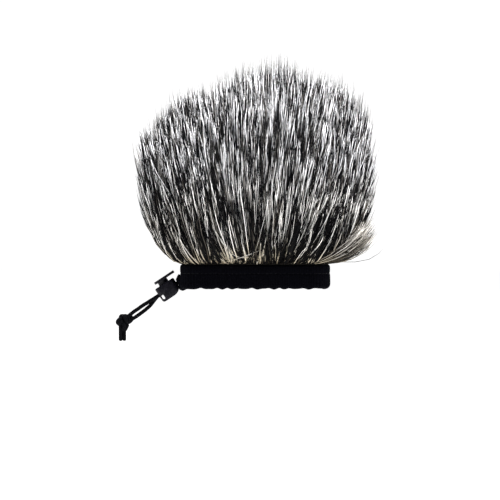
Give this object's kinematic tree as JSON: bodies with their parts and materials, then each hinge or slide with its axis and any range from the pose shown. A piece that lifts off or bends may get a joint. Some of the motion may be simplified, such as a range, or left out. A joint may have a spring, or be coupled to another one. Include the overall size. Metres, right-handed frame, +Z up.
{
  "type": "furry windscreen",
  "caption": "Long-pile faux-fur wind cover with a foam liner and a drawcord cuff with a sprung cord lock, for the microphone head of a hand-held audio recorder.",
  "frame": {"origin": "centre of the cuff's mouth, on its lower rim", "axes": "+Z points up into the hood, the way the recorder's head goes in; -Y is the front, which lies over the recorder's face; +X is to the right seen from the front, and the cord leaves the cuff at its -X end"},
  "size_m": [0.1403, 0.092, 0.1447],
  "materials": {
    "fur": "long-pile faux fur, grey mix of dark and pale fibres",
    "foam": "open-cell acoustic foam, matte charcoal",
    "cuff_fabric": "fine stretch knit, black with a faint sheen",
    "thread": "polyester sewing thread, black",
    "cord": "braided elastic cord, black",
    "lock_plastic": "moulded acetal, black, semi-gloss",
    "spring_steel": "drawn spring wire"
  },
  "bodies": {
    "hood": {"fur_front_panel": "fur", "fur_back_panel": "fur", "fur_seam_thread": "thread", "liner_front": "foam", "liner_back": "foam", "liner_seam_thread": "thread", "cuff_casing": "cuff_fabric", "cuff_join_overlock": "thread", "cuff_channel_stitching": "thread", "cuff_ring_seam": "thread", "cord_exit_stitching": "thread", "drawcord_loop": "cord"},
    "drawcord_tail": {"drawcord_strand_upper": "cord", "drawcord_strand_lower": "cord", "drawcord_knot": "cord", "drawcord_end_front": "cord", "drawcord_end_rear": "cord"},
    "cord_lock": {"cord_lock_body": "lock_plastic", "cord_lock_spring": "spring_steel"},
    "lock_plunger": {"cord_lock_plunger": "lock_plastic"}
  },
  "joints": [
    {"name": "cord_swing", "type": "hinge", "parent": "hood", "child": "drawcord_tail", "pos_m": [-0.0414, 0, 0.004], "axis": [0, 1, 0], "range_deg": [-25, 20], "stiffness_Nm_per_rad": 0.01},
    {"name": "lock_slide", "type": "slide", "parent": "drawcord_tail", "child": "cord_lock", "axis": [-0.8339, 0, -0.5519], "range_m": [0, 0.0165], "deforming": ["drawcord_strand_upper", "drawcord_strand_lower"]},
    {"name": "plunger_press", "type": "slide", "parent": "cord_lock", "child": "lock_plunger", "axis": [0.5519, 0, -0.8339], "range_m": [0, 0.0016], "stiffness_N_per_m": 350, "springref_m": -0.002, "deforming": ["cord_lock_spring"]}
  ]
}
